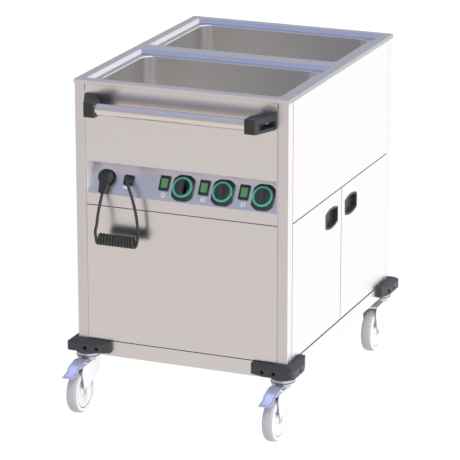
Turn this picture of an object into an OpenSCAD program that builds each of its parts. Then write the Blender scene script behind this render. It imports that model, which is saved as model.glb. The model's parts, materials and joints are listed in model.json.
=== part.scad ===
// Heated serving trolley with two wells on top and a heated two-door cabinet below.
// Millimetres. +X is to the operator's right, +Y to the back, +Z up.
// The origin is on the floor, under the middle of the trolley's outline.

/* [Body] */
// Height from the underside of the base to the top of the rim
body_h = 780; // [772:2:800]
// Thickness of the stainless sheet
sheet_t = 1.5; // [1:0.25:1.75]
// Width of a corner post on the front and the back
post_front_w = 29.5; // [26:0.5:32]
// Width of a corner post on the sides
post_side_w = 33; // [30:1:35]
// Open joint between neighbouring panels
joint_gap = 2; // [1.5:0.25:2.5]
// Height of the doors and the lower front panel, with their joint
lower_h = 389; // [380:1:394]
// Depth of the folded edge of a panel
fold_w = 18; // [14:1:18]

/* [Top] */
// Overhang of the rim past the panels
rim_overhang = 2; // [1.75:0.25:4]
// Height of the rim's outer edge
rim_drop = 12; // [10:1:16]
// Flat band of the rim in front of the first well
front_band = 24; // [22:1:28]
// Flat band behind the second well
back_band = 24; // [22:1:28]
// Flat bands to the left and right of the wells
side_band = 24; // [22:1:28]
// Flat band between the two wells
divider_w = 56; // [50:1:60]
// Length of a well's recess at the rim, which with the side bands gives the body's width
recess_l = 572; // [566:1:576]
// Width of a well's recess at the rim, which with the other bands gives the body's length
recess_w = 362; // [358:1:366]
// Depth of the recess, which slopes in at 45 degrees
recess_depth = 10; // [8:1:12]
// Ledge inside the recess, which carries a food container
ledge_w = 16; // [14:1:18]
// Width and depth of the ledge's edge, turned down at 45 degrees into the well
lip_w = 2.5; // [2:0.25:3]
// Depth of a well below its ledge
well_depth = 200; // [150:5:200]
// Radius of a well's upright corners
well_corner_r = 36; // [25:1:45]

/* [Control panel] */
// Strip of sheet below the sloping panel
sill_h = 33; // [30:1:36]
// Height of the opening that the sloping panel fills
slope_h = 89.5; // [88:0.5:92]
// How far the panel's upper edge is set back
slope_in = 56; // [52:1:58]
// Distance between neighbouring thermostat dials
dial_pitch = 116; // [114:1:118]
// Distance of the last dial from the right side of the body
dial_edge = 79; // [76:1:82]
// Outside diameter of a dial's coloured ring
ring_d = 58; // [54:1:60]
// Diameter of a thermostat knob
knob_d = 44; // [40:1:46]
// Width of a switch frame
switch_w = 29; // [27:1:32]
// Height of a switch frame
switch_h = 42; // [40:1:44]

/* [Handle] */
// Diameter of the push handle
handle_d = 32; // [28:1:33]
// Distance of the handle's axis in front of the body
handle_out = 62; // [58:1:66]
// Distance of the handle's axis below the rim
handle_drop = 61; // [56:1:64]
// Height of a handle bracket at the panel
bracket_h = 46; // [44:1:54]

/* [Base] */
// Height of the base frame
base_h = 43; // [40:1:50]
// Width of the base frame's lower flange
base_flange = 40; // [38:1:46]
// Thickness of the base frame's sheet
base_t = 2.5; // [2:0.25:3]
// How far the corner bumpers stand out
bumper_out = 27; // [24:1:30]
// Length of a bumper's arm along the body
bumper_arm = 100; // [90:1:110]
// Height of a corner bumper
bumper_h = 31; // [28:1:34]

/* [Casters] */
// Height from the floor to the underside of the base
caster_h = 161; // [159:1:170]
// Diameter of a wheel
wheel_d = 125; // [120:1:126]
// Width of a wheel's tyre
wheel_w = 32; // [28:1:33]
// Distance of the wheel's axle behind its swivel axis
caster_trail = 58; // [54:1:60]
// Diameter of the swivel head
head_d = 67; // [60:1:70]
// Reach of a brake pedal from the swivel axis
pedal_reach = 138; // [134:1:142]

/* [Doors] */
// Thickness of a door
door_t = 20; // [19:1:20]
// Joint between the two doors
centre_gap = 3; // [2.5:0.25:4]
// Length of a door's recessed pull
pull_l = 92; // [86:1:100]
// Height of a pull at its middle
pull_h = 56; // [52:1:60]
// Height of a pull at its two ends
pull_end_h = 39; // [36:1:43]
// Distance from the middle of a pull up to the top of the door
pull_drop = 66; // [62:1:76]
// Distance of a pull from the joint between the doors
pull_edge = 30; // [26:1:36]

/* [Cord] */
// Diameter of the mains cord
cord_d = 8; // [7:0.25:8.25]
// Curls in the coiled part of the cord
curls = 12; // [8:1:13]

/* [Hidden] */
$fn = 48;

// Colours
steel_colour = [0.80, 0.78, 0.77];
bright_colour = [0.85, 0.85, 0.90];
slope_colour = [0.62, 0.62, 0.68];
black_colour = [0.16, 0.16, 0.17];
bumper_colour = [0.29, 0.29, 0.30];
green_colour = [0.18, 0.62, 0.47];
lens_colour = [0.31, 0.56, 0.31];
tyre_colour = [0.74, 0.74, 0.78];
wool_colour = [0.86, 0.80, 0.55];
brass_colour = [0.75, 0.62, 0.30];
red_colour = [0.75, 0.12, 0.10];

// Clearances and overruns
cut = 1;
seat = 0.3;
fit_r = 0.05;
board_gap = 0.5;
root_two = sqrt(2);
fine_sides = 96;

// Width over the corner posts and length over the panels
body_w = recess_l + 2 * side_band;
body_l = front_band + 2 * recess_w + divider_w + back_band;

// Levels above the floor
base_z = caster_h;
base_top = base_z + base_h;
mid_z = base_top + lower_h;
slope_z = mid_z + sill_h;
slope_top = slope_z + slope_h;
rim_z = base_z + body_h;
deck_under = rim_z - sheet_t;
ledge_z = rim_z - recess_depth;
well_floor_z = ledge_z - well_depth;

// Swivels and forks of the casters
caster_in = base_flange / 2;
head_r = head_d / 2;
wheel_r = wheel_d / 2;
axle_z = wheel_r;
arm_t = 3;
side_gap = 2;
hub_gap = 0.3;
fork_gap = wheel_w / 2 + side_gap;
fork_half = fork_gap + arm_t;
race_t = 8;
race_gap = 0.5;
plate_t = 3;
cup_h = 13;
cup_top = base_z - race_t - race_gap;
plate_z = cup_top - cup_h - plate_t;
kingpin_r = 7;
rivet_r = 11;
rivet_h = 4;
stem_r = 6;
stem_h = 26;
nut_r = 11;
nut_h = 10;
axle_r = 6;
axle_head_r = 9;
axle_head_h = 3;
boss_r = 14;
knee_share = 1.2;

// Wheels
hub_share = 0.24;
web_share = 0.55;
rim_share = 0.76;

// Brake pedals: a tread's height from its tip, at shares of its length from the swivel head
pin_r = 3;
pin_ahead = 5;
pin_under = 5;
pin_y = -(caster_trail + pin_ahead);
pin_z = plate_z - pin_under;
pedal_gap = 1;
pedal_half = fork_gap - pedal_gap;
pedal_t = 2.5;
pedal_in = 5;
pedal_start = head_r + pedal_in;
pedal_h = 26;
pedal_top = cup_top - pedal_t;
tread_shares = [[0, 0.9], [0.18, 1], [0.42, 0.8], [0.61, 0.58], [0.71, 0.2], [1, 0]];
ear_r = 9;

// Place of the body in the frame of the whole trolley
front_reach = pedal_reach - caster_in;
front_y = (front_reach - bumper_out - body_l) / 2;

// Doors
door_edge = post_side_w + joint_gap;
door_w = body_l / 2 - centre_gap / 2 - door_edge;
door_z = base_top + joint_gap;
door_h = lower_h - 2 * joint_gap;
door_bevel = 8;
door_vent_r = 4;
pivot_in = 7;
pivot_along = 12;
pivot_r = 3;
collar_r = 5.5;
pivot_y = door_edge + pivot_along;
skin_k = sheet_t * (root_two - 1);
pull_y = door_w - pull_edge - pull_l / 2;
pull_z = door_h - pull_drop;
pull_wall = 4;
pull_t = 2;
pull_deep = 15;

// Heated cabinet: gaskets, the liner's two bays and their runners
gasket_t = 3;
gasket_w = 7;
gasket_in = 1;
ring_x = body_w - door_t - seat - gasket_t;
liner_x = 60;
bay_margin = 31;
bay_rise = 22;
bay_edge = door_edge + bay_margin;
divider_half = 10;
bay_w = body_l / 2 - divider_half - bay_edge;
bay_y = [bay_edge, body_l / 2 + divider_half];
bay_z = base_top + bay_rise;
bay_h = lower_h - 2 * bay_rise;
runners = 4;
runner_t = 1.5;
runner_w = 11.5;

// Panels
panel_x = post_front_w + joint_gap;
panel_w = body_w - 2 * panel_x;
side_y = post_side_w + joint_gap;
side_l = body_l - 2 * side_y;

// Wells
well_x = side_band;
inset = recess_depth + ledge_w;
well_l = recess_l - 2 * inset;
well_w = recess_w - 2 * inset;
well_y = [front_band, front_band + recess_w + divider_w];
well_flange = 10;
spigot_r = 10;
spigot_h = 16;
spigot_in = 40;
strainer_holes = 6;
strainer_ring = 5;
strainer_r = 1.75;
heater_t = 5;
terminal_w = 16;
terminal_h = 9;
heater_share = 0.74;
heater_shift = 30;

// Drains
pipe_r = 9;
pipe_x = 28;
pipe_drop = 30;
valve_r = 13;
valve_h = 40;
valve_drop = 31;
valve_z = base_z - valve_drop;
spout_h = 16;
valve_stem_r = 4;
lever_l = 72;
lever_t = 3;
lever_w = 12;
lever_x = 8.5;
grip_t = 7;
grip_l = 44;

// Sloping panel with its dials, switches, socket and gland
slope_a = atan(slope_in / slope_h);
dial_u = 41;
dial_x = [for (i = [2:-1:0]) body_w - dial_edge - i * dial_pitch];
switch_u = 49;
switch_dx = 56;
bezel_w = 61;
bezel_h = 73;
bezel_r = 39;
bezel_t = 12;
bezel_dome_r = 78;
ring_z = 8;
ring_t = 2.75;
ring_w = 6.5;
knob_pocket = 6;
knob_t = 7;
knob_bar_w = 10;
knob_bar_h = 10;
spindle_r = 3;
bush_r = 5;
thermostat_r = 18;
thermostat_h = 28;
switch_t = 4;
switch_depth = 20;
rocker_w = 19.5;
rocker_l = 27;
rocker_t = 8;
rocker_a = 8;
rocker_gap = 1.2;
rocker_pin_r = 1.5;
dish_r = 60;
dish_depth = 1;
park_x = 84;
park_u = 45;
park_r = 25;
park_t = 3;
cup_r = 23;
face_r = 20;
face_depth = 16;
socket_h = 34;
cap_r = 21;
cap_h = 22;
pole_r = 2.4;
pole_dx = 9.5;
pole_l = 15;
neck_l = 26;
neck_w = 24;
neck_end_w = 18;
neck_t = 16;
gland_x = 148;
gland_u = 45.5;
gland_w = 29;
gland_corner = 5;
gland_t = 5;
gland_tip = 12;
gland_r = 12;
gland_tip_r = 7;

// Handle and its brackets
handle_z = rim_z - handle_drop;
handle_wall = 1.5;
handle_bite = 24;
bracket_in = 94;
bracket_front = 31;
bracket_side = 33.5;
bracket_wall = 4;
bracket_under = 5;
bracket_tip_h = 40;
bracket_out = handle_out + handle_d / 2 + bracket_wall;
bracket_z = handle_z - handle_d / 2 - bracket_under;
crown_shares = [0.3, 0.55];
notch_drop = 4;
notch_z = handle_z - notch_drop;
notch_h = 16;
notch_back = 10;
notch_in = 57;
screw_r = 1.9;
screw_head_r = 4.75;
screw_head_h = 3.5;

// Bumpers
bumper_lip = 1;
bumper_z = base_top - bumper_h - bumper_lip;
bumper_r = 14;
bumper_flat = 58;
bumper_tip = 14;
bumper_slope_w = 13;
bumper_slope_h = 9;
bumper_screws = [30, 64];
bumper_screw_up = 11;
bumper_screw_z = bumper_z + bumper_screw_up;
pocket_r = 5.75;
pocket_wall = 6;

// Curly part of the cord: its first point, and the radius and spacing of its curls
curl_start = [85, -45, 512];
curl_r = 13;
curl_space = 0.8;
curl_pitch = cord_d + curl_space;
curl_rings = 8;
curl_sides = 6;
curl_end = 360 * curls + 180;
curl_last = curl_rings * curl_end / 360;

// Directions up and out of the sloping panel, and the cord's ends at the plug and the gland
slope_up = [0, sin(slope_a), cos(slope_a)];
slope_out = [0, -cos(slope_a), sin(slope_a)];
plug_end = [park_x, 0, slope_z] + (park_u - cap_r - neck_l) * slope_up + (park_t + cap_h / 2) * slope_out;
gland_end = [gland_x, 0, slope_z] + gland_u * slope_up + gland_tip * slope_out;

// Free stretches of the cord, from the plug to the curls and from the gland to the curls
run_sides = 8;
run_step = 2 * cord_d;
plug_run = [
    [84, -25, 612],
    [84, -35.5, 594],
    [84.3, -45, 575],
    [84.7, -53, 554]];
gland_run = [
    [150, -2, 680],
    [155, -12, 680.5],
    [162, -22, 674],
    [171, -29, 658],
    [180, -32, 637],
    [187, -33, 614],
    [192, -33, 591],
    [195, -32, 568]];

// Turns the body's own corner into the trolley's frame
module placed() {
    translate([-body_w / 2, front_y, 0]) children();
}

// Mirrors a piece of the left front corner to the corner named by two signs
module corner(right, rear) {
    translate([right ? body_w : 0, rear ? body_l : 0, 0])
        mirror([right ? 1 : 0, 0, 0]) mirror([0, rear ? 1 : 0, 0]) children();
}

// Repeats children at all four corners
module corners() {
    for (right = [false, true], rear = [false, true]) corner(right, rear) children();
}

// Runs a Y-Z outline along X
module along_x(l) {
    rotate([90, 0, 90]) linear_extrude(l) children();
}

// Runs an X-Z outline along Y
module along_y(l) {
    translate([0, l, 0]) rotate([90, 0, 0]) linear_extrude(l) children();
}

// Cylinder along X
module rod_x(r, l) {
    rotate([0, 90, 0]) cylinder(r = r, h = l);
}

// Cylinder along Y
module rod_y(r, l) {
    rotate([-90, 0, 0]) cylinder(r = r, h = l);
}

// Rectangle with round corners, from one corner at the origin
module round_rect(l, w, r) {
    translate([r, 0]) square([l - 2 * r, w]);
    translate([0, r]) square([l, w - 2 * r]);
    for (x = [r, l - r], y = [r, w - r]) translate([x, y]) circle(r);
}

// Stands children on the sloping panel, with Z outwards and Y up the slope
module on_slope(x, u) {
    translate([x, 0, slope_z]) rotate([90 - slope_a, 0, 0]) translate([0, u, 0]) children();
}

// Base frame
module base_frame() color(steel_colour) placed() {
    inner_w = body_w - 2 * base_t;
    inner_l = body_l - 2 * base_t;
    inner_h = base_h - 2 * base_t;
    difference() {
        translate([0, 0, base_z]) cube([body_w, body_l, base_h]);
        translate([base_t, base_t, base_z + base_t]) cube([inner_w, inner_l, inner_h]);
        translate([base_flange, base_flange, base_z - cut])
            cube([body_w - 2 * base_flange, body_l - 2 * base_flange, base_t + 2 * cut]);
        corners() {
            translate([caster_in, caster_in, base_z - cut])
                cylinder(r = stem_r + fit_r, h = base_t + 2 * cut);
            for (s = bumper_screws) {
                translate([s, -cut, bumper_screw_z]) rod_y(screw_r + fit_r, base_t + 2 * cut);
                translate([-cut, s, bumper_screw_z]) rod_x(screw_r + fit_r, base_t + 2 * cut);
            }
        }
        for (y = well_y) translate([pipe_x, y + recess_w / 2, base_z - cut])
            cylinder(r = pipe_r + seat, h = base_h + 2 * cut);
        for (y = [pivot_y, body_l - pivot_y]) translate([body_w - pivot_in, y, base_z + base_t])
            cylinder(r = pivot_r + fit_r, h = base_h);
    }
    for (share = [1, 2] / 3) translate([base_t, body_l * share, base_z + base_t])
        along_x(inner_w) cross_section(inner_h);
}

// Channel of a cross member, with its web at the origin
module cross_section(h) {
    polygon([[0, 0], [base_flange / 2, 0], [base_flange / 2, base_t], [base_t, base_t],
        [base_t, h - base_t], [base_flange / 2, h - base_t], [base_flange / 2, h], [0, h]]);
}

// Corner posts
module post() {
    f = post_front_w;
    s = post_side_w;
    t = sheet_t;
    translate([0, 0, base_top]) linear_extrude(deck_under - base_top) polygon([
        [0, 0], [f, 0], [f, fold_w], [f - t, fold_w], [f - t, t], [t, t],
        [t, s - t], [fold_w, s - t], [fold_w, s], [0, s]]);
}
module post_front_left() color(steel_colour) placed() corner(false, false) post();
module post_front_right() color(steel_colour) placed() corner(true, false) post();
module post_rear_left() color(steel_colour) placed() corner(false, true) post();
module post_rear_right() color(steel_colour) placed() corner(true, true) post();

// Flat panel facing -Y with its edges folded back; bottom and top say which edges are folded
module panel(w, h, bottom, top) {
    cube([w, sheet_t, h]);
    for (x = [0, w - sheet_t]) translate([x, 0, 0]) cube([sheet_t, fold_w, h]);
    if (bottom) cube([w, fold_w, sheet_t]);
    if (top) translate([0, 0, h - sheet_t]) cube([w, fold_w, sheet_t]);
}

// Front panels
module front_upper_panel() color(steel_colour) placed() {
    soffit = slope_in + sheet_t / cos(slope_a) + fold_w / 3;
    difference() {
        translate([panel_x, 0, slope_top]) {
            panel(panel_w, deck_under - slope_top, false, false);
            cube([panel_w, soffit, sheet_t]);
        }
        for (x = [notch_in, body_w - notch_in]) translate([x, -cut, notch_z])
            rod_y(screw_r + fit_r, sheet_t + 2 * cut);
    }
}
module front_lower_panel() color(steel_colour) placed()
    translate([panel_x, 0, door_z]) panel(panel_w, door_h, true, true);

// Sloping control panel with its sill strip and side cheeks
module control_fascia() color(slope_colour) placed() difference() {
    union() {
        translate([panel_x, 0, 0]) along_x(panel_w) polygon([
            [0, mid_z], [0, slope_z], [slope_in, slope_top],
            [slope_in + sheet_t / cos(slope_a), slope_top],
            [sheet_t, slope_z - sheet_t * tan(slope_a / 2)],
            [sheet_t, mid_z + sheet_t], [fold_w, mid_z + sheet_t], [fold_w, mid_z]]);
        for (x = [panel_x, panel_x + panel_w - sheet_t]) translate([x, 0, 0])
            along_x(sheet_t) polygon([[0, slope_z], [slope_in, slope_top], [0, slope_top]]);
    }
    through = 2 * (sheet_t + cut);
    on_slope(park_x, park_u) cylinder(r = cup_r + seat, h = through, center = true);
    on_slope(gland_x, gland_u) cylinder(r = gland_r - sheet_t, h = through, center = true);
    for (x = dial_x) {
        on_slope(x, dial_u) cylinder(r = bush_r + seat, h = through, center = true);
        on_slope(x - switch_dx, switch_u)
            cube([rocker_w + 4 * sheet_t, rocker_l + 4 * sheet_t, through], true);
    }
}

// Side and rear panels
module rear_panel() color(steel_colour) placed()
    translate([body_w - panel_x, body_l, door_z]) rotate([0, 0, 180])
        panel(panel_w, deck_under - door_z, true, false);
module left_panel() color(steel_colour) placed()
    translate([0, body_l - side_y, door_z]) rotate([0, 0, -90])
        panel(side_l, deck_under - door_z, true, false);
module right_upper_panel() color(steel_colour) placed() difference() {
    translate([body_w, side_y, mid_z]) rotate([0, 0, 90])
        panel(side_l, deck_under - mid_z, true, false);
    for (y = [pivot_y, body_l - pivot_y]) translate([body_w - pivot_in, y, mid_z - cut])
        cylinder(r = pivot_r + fit_r, h = sheet_t + 2 * cut);
}

// Tapering recess with four 45 degree slopes, its top at the origin's level
module recess(grow, depth) {
    l = recess_l + 2 * grow;
    w = recess_w + 2 * grow;
    intersection() {
        along_y(w) polygon([[0, 0], [l, 0], [l - depth, -depth], [depth, -depth]]);
        along_x(l) polygon([[0, 0], [w, 0], [w - depth, -depth], [depth, -depth]]);
    }
}

// Top deck with its folded rim and two sloping recesses
module top_deck() color(bright_colour) placed() {
    o = rim_overhang;
    skin = sheet_t * root_two;
    difference() {
        union() {
            difference() {
                translate([-o, -o, rim_z - rim_drop]) cube([body_w + 2 * o, body_l + 2 * o, rim_drop]);
                translate([sheet_t - o, sheet_t - o, rim_z - rim_drop - cut])
                    cube([body_w + 2 * (o - sheet_t), body_l + 2 * (o - sheet_t), rim_drop - sheet_t + cut]);
            }
            for (y = well_y) translate([well_x - skin, y - skin, rim_z])
                recess(skin, recess_depth + sheet_t);
        }
        for (y = well_y) {
            translate([well_x, y, rim_z]) recess(0, recess_depth);
            translate([well_x - cut, y - cut, rim_z]) cube([recess_l + 2 * cut, recess_w + 2 * cut, cut]);
            translate([well_x + inset, y + inset, ledge_z - sheet_t - cut])
                linear_extrude(recess_depth) round_rect(well_l, well_w, well_corner_r);
            translate([well_x + inset, y + inset, ledge_z - lip_w]) mouth(lip_w + cut);
        }
    }
}

// Mouth of a well, which widens upwards at 45 degrees from its own outline
module mouth(h) {
    l = well_l;
    w = well_w;
    r = well_corner_r;
    for (x = [r, l - r], y = [r, w - r]) translate([x, y, 0]) cylinder(r1 = r, r2 = r + h, h = h);
    translate([0, r, 0]) along_y(w - 2 * r) polygon([[0, 0], [l, 0], [l + h, h], [-h, h]]);
    translate([r, 0, 0]) along_x(l - 2 * r) polygon([[0, 0], [w, 0], [w + h, h], [-h, h]]);
}

// Wells, welded under the deck's ledges, each with a strainer over its drain spigot
module well(y) color(bright_colour) placed() {
    top = ledge_z - sheet_t;
    f = well_flange;
    t = sheet_t;
    translate([well_x + inset, y + inset, 0]) difference() {
        union() {
            translate([-t, -t, well_floor_z - t]) linear_extrude(top - well_floor_z + t)
                round_rect(well_l + 2 * t, well_w + 2 * t, well_corner_r + t);
            translate([-f, -f, top - t]) linear_extrude(t)
                round_rect(well_l + 2 * f, well_w + 2 * f, well_corner_r + f);
            translate([spigot_in, well_w / 2, well_floor_z - t - spigot_h])
                cylinder(r = spigot_r, h = spigot_h + t);
        }
        translate([0, 0, well_floor_z]) linear_extrude(well_depth)
            round_rect(well_l, well_w, well_corner_r);
        translate([0, 0, ledge_z - lip_w]) mouth(lip_w + cut);
        translate([spigot_in, well_w / 2, well_floor_z - t]) {
            translate([0, 0, -spigot_h - cut]) cylinder(r = spigot_r - t, h = spigot_h + cut);
            translate([0, 0, -cut]) linear_extrude(t + 2 * cut) {
                circle(strainer_r);
                for (i = [1:strainer_holes]) rotate(360 * i / strainer_holes)
                    translate([strainer_ring, 0]) circle(strainer_r);
            }
        }
    }
}
module well_front() well(well_y[0]);
module well_rear() well(well_y[1]);

// Flat heating elements, pressed to the wells and to the floors of the cabinet
module heater(l, w) {
    translate([-l / 2, -w / 2, -heater_t]) linear_extrude(heater_t) round_rect(l, w, heater_t);
    translate([l / 2 - 2 * terminal_w, -terminal_w / 2, -heater_t - terminal_h])
        cube([terminal_w, terminal_w, terminal_h]);
}
module heating_elements() color(slope_colour) placed() {
    l = well_l * heater_share;
    w = well_w * heater_share;
    for (y = well_y) translate([body_w / 2 + heater_shift, y + recess_w / 2, well_floor_z - sheet_t])
        heater(l, w);
    for (y = bay_y) translate([(liner_x + ring_x) / 2, y + bay_w / 2, bay_z - sheet_t - heater_t])
        translate([-l / 2, -w / 2, 0]) linear_extrude(heater_t) round_rect(l, w, heater_t);
}

// Cabinet liner: two bays, joined by their front frame
module cabinet_liner() color(bright_colour) placed() {
    t = sheet_t;
    depth = ring_x - liner_x;
    frame_y = post_side_w + cut;
    difference() {
        union() {
            for (y = bay_y) translate([liner_x, y - t, bay_z - t])
                cube([depth, bay_w + 2 * t, bay_h + 2 * t]);
            translate([ring_x - t, frame_y, base_top]) cube([t, body_l - 2 * frame_y, lower_h]);
        }
        for (y = bay_y) translate([liner_x + t, y, bay_z]) cube([depth, bay_w, bay_h]);
    }
}

// Runners that carry the food containers, spot-welded to both walls of each bay
module shelf_runners() color(bright_colour) placed() {
    l = ring_x - liner_x - 4 * sheet_t;
    for (y = bay_y, side = [0, bay_w - runner_w], i = [1:runners])
        translate([liner_x + sheet_t, y + side, bay_z + i * bay_h / (runners + 1)])
            cube([l, runner_w, runner_t]);
}

// Insulation round the liner
module insulation_boards() color(wool_colour) placed() {
    x0 = pipe_x + pipe_r + cut;
    x1 = liner_x + board_gap;
    x2 = ring_x - sheet_t - cut;
    y1 = bay_edge - sheet_t - board_gap;
    y0 = fold_w + board_gap;
    under = bay_z - sheet_t - heater_t - seat - base_top;
    over_z = bay_z + bay_h + sheet_t + seat;
    over_h = mid_z - cut - over_z;
    translate([x0, y0 + base_flange, base_top])
        cube([liner_x - seat - x0, body_l - 2 * (y0 + base_flange), lower_h - cut]);
    for (y = [y0, body_l - y1]) translate([x1, y, base_top]) cube([x2 - x1, y1 - y0, lower_h - cut]);
    translate([x1, bay_edge, base_top]) cube([x2 - x1, body_l - 2 * bay_edge, under]);
    translate([x1, bay_edge, over_z]) cube([x2 - x1, body_l - 2 * bay_edge, over_h]);
}

// Gaskets on the liner's frame
module door_gaskets() color(black_colour) placed() {
    g = gasket_w + gasket_in;
    for (y = bay_y) translate([ring_x, y, bay_z]) difference() {
        translate([0, -g, -g]) cube([gasket_t, bay_w + 2 * g, bay_h + 2 * g]);
        translate([-cut, -gasket_in, -gasket_in])
            cube([gasket_t + 2 * cut, bay_w + 2 * gasket_in, bay_h + 2 * gasket_in]);
    }
}

// Push handle and its moulded brackets
module handle_tube() color(bright_colour) placed() {
    end_x = bracket_in - handle_bite;
    translate([end_x, -handle_out, handle_z]) difference() {
        rod_x(handle_d / 2, body_w - 2 * end_x);
        translate([-cut, 0, 0]) rod_x(handle_d / 2 - handle_wall, body_w - 2 * end_x + 2 * cut);
    }
}
module bracket() {
    o = bracket_out;
    far = bracket_in;
    near = far - bracket_front;
    lip = handle_wall;
    foot = notch_back - lip;
    top = bracket_z + bracket_h;
    tip = bracket_z + bracket_tip_h;
    difference() {
        intersection() {
            translate([0, 0, bracket_z]) linear_extrude(2 * bracket_h) polygon([
                [far, lip - o], [far - lip, -o], [near + lip, -o], [near, lip - o],
                [bracket_side, -foot], [bracket_side, 0], [far - bracket_front, 0],
                [far - bracket_front, -foot], [far, handle_d / 2 + 2 * lip - handle_out]]);
            along_x(body_w) polygon([
                [-o, bracket_z + 2 * lip], [-o + 2 * lip, bracket_z], [-foot, bracket_z],
                [0, bracket_z + lip], [0, top], [-foot, top], [-o * crown_shares[0], (top + tip) / 2],
                [-o * crown_shares[1], tip], [-o + 2 * lip, tip], [-o, tip - 2 * lip]]);
        }
        translate([far - handle_bite, -handle_out, handle_z])
            rod_x(handle_d / 2 + fit_r, handle_bite + cut);
        translate([notch_in, foot + notch_h / 2 - o, notch_z]) {
            rod_y(notch_h / 2, o - 2 * foot - notch_h / 2);
            translate([-notch_in, 0, -notch_h / 2]) cube([notch_in, o - 2 * foot - notch_h / 2, notch_h]);
        }
        translate([notch_in, -foot - cut, notch_z]) rod_y(screw_r + fit_r, foot + 2 * cut);
    }
}
module handle_bracket_left() color(black_colour) placed() bracket();
module handle_bracket_right() color(black_colour) placed() corner(true, false) bracket();

// Screw with its head's underside at the origin, driven along +Y
module screw(l) {
    rod_y(screw_r, l);
    difference() {
        translate([0, -screw_head_h, 0]) rod_y(screw_head_r, screw_head_h);
        translate([0, -screw_head_h - cut, 0]) rotate([-90, 0, 0])
            cylinder(r = screw_r, h = screw_head_h / 2 + cut, $fn = 6);
    }
}
module fixing_screws() color(bright_colour) placed() {
    for (x = [notch_in, body_w - notch_in]) translate([x, handle_wall - notch_back, notch_z])
        screw(notch_back + 2 * sheet_t);
    corners() for (s = bumper_screws) {
        translate([s, -pocket_wall, bumper_screw_z]) screw(pocket_wall + base_t);
        translate([-pocket_wall, s, bumper_screw_z]) rotate([0, 0, -90]) screw(pocket_wall + base_t);
    }
}

// Dummy socket that holds the plug when the trolley travels
module park_socket() color(black_colour) placed() on_slope(park_x, park_u) difference() {
    union() {
        cylinder(r = park_r, h = park_t);
        translate([0, 0, -socket_h]) cylinder(r = cup_r, h = socket_h + cut);
    }
    translate([0, 0, park_t - face_depth]) cylinder(r = face_r + seat, h = face_depth + cut);
    for (x = [-pole_dx, pole_dx]) translate([x, 0, park_t - face_depth - pole_l - seat])
        cylinder(r = pole_r + seat, h = pole_l + cut);
}

// Angled plug with a domed cap and a neck towards the cord
module plug() color(black_colour) placed() on_slope(park_x, park_u) {
    mid = park_t + cap_h / 2;
    dome_r = (cap_r * cap_r + cap_h * cap_h) / cap_h;
    translate([0, 0, park_t + seat - face_depth]) cylinder(r = face_r, h = face_depth);
    intersection() {
        translate([0, 0, park_t + seat]) cylinder(r = cap_r, h = cap_h);
        translate([0, 0, park_t + cap_h - dome_r]) sphere(dome_r);
    }
    translate([0, 0, mid - neck_t / 2]) linear_extrude(neck_t) polygon([
        [-neck_w / 2, 0], [-neck_w / 2, -cap_r], [-neck_end_w / 2, -cap_r - neck_l],
        [neck_end_w / 2, -cap_r - neck_l], [neck_w / 2, -cap_r], [neck_w / 2, 0]]);
    for (x = [-pole_dx, pole_dx]) translate([x, 0, park_t - face_depth - pole_l + seat + cut])
        cylinder(r = pole_r, h = pole_l);
}

// Cable gland with a square flange
module cable_gland() color(black_colour) placed() on_slope(gland_x, gland_u) {
    translate([-gland_w / 2, -gland_w / 2, 0]) linear_extrude(gland_t)
        round_rect(gland_w, gland_w, gland_corner);
    rotate_extrude() polygon([[0, 0], [gland_r, 0], [gland_r, gland_t + sheet_t],
        [gland_tip_r, gland_tip], [0, gland_tip]]);
    translate([0, 0, -gland_r]) cylinder(r = gland_r - 2 * sheet_t, h = gland_r + cut);
}

// Helix of the curls: place and directions at an angle
function helix(a) = curl_start + [curl_pitch * a / 360, -curl_r * cos(a), -curl_r * sin(a)];
function helix_out(a) = [0, -cos(a), -sin(a)];
function unit(v) = v / norm(v);
helix_rise = curl_pitch / (2 * PI * curl_r);
function helix_along(a) = unit([helix_rise, sin(a), -cos(a)]);

// Ring of points about a centre, on two unit directions
function ring(p, a, b, n) = [for (i = [0:n - 1]) let (turn = 360 * i / n)
    p + cord_d / 2 * (cos(turn) * a + sin(turn) * b)];

// Closed tube through a list of rings
module tube(rings) {
    n = len(rings[0]);
    last = (len(rings) - 1) * n;
    polyhedron([for (r = rings) each r], concat(
        [for (i = [1:n - 2]) [0, i, i + 1]],
        [for (i = [1:n - 2]) [last, last + i + 1, last + i]],
        [for (k = [0:n:last - n], i = [0:n - 1]) [k + i, k + n + i, k + n + (i + 1) % n]],
        [for (k = [0:n:last - n], i = [0:n - 1]) [k + i, k + n + (i + 1) % n, k + (i + 1) % n]]));
}

// Tube along a route that never runs along X
module run(p) {
    last = len(p) - 1;
    tube([for (i = [0:last])
        let (before = i > 0 ? unit(p[i] - p[i - 1]) : [0, 0, 0],
            after = i < last ? unit(p[i + 1] - p[i]) : [0, 0, 0],
            along = unit(before + after),
            side = unit(cross(along, [1, 0, 0])))
        ring(p[i], side, cross(along, side), run_sides)]);
}

// Curly part of the cord, one tube whose ends run straight for one diameter
module cord_curl() color(black_colour) placed()
    tube([for (i = [-1:curl_last + 1])
        let (a = 360 * min(max(i, 0), curl_last) / curl_rings,
            past = i < 0 ? -cord_d : i > curl_last ? cord_d : 0,
            p = helix(a) + past * helix_along(a))
        ring(p, helix_out(a), cross(helix_along(a), helix_out(a)), curl_sides)]);

// Least gap between one curl and any later point of the coil
curl_path = [for (i = [0:curl_last]) helix(360 * i / curl_rings)];
curl_gap = min([for (i = [0:curl_last], j = [i + curl_rings / 2:1:curl_last])
    norm(curl_path[i] - curl_path[j])]) - cord_d;
echo("least gap between curls", curl_gap);

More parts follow.
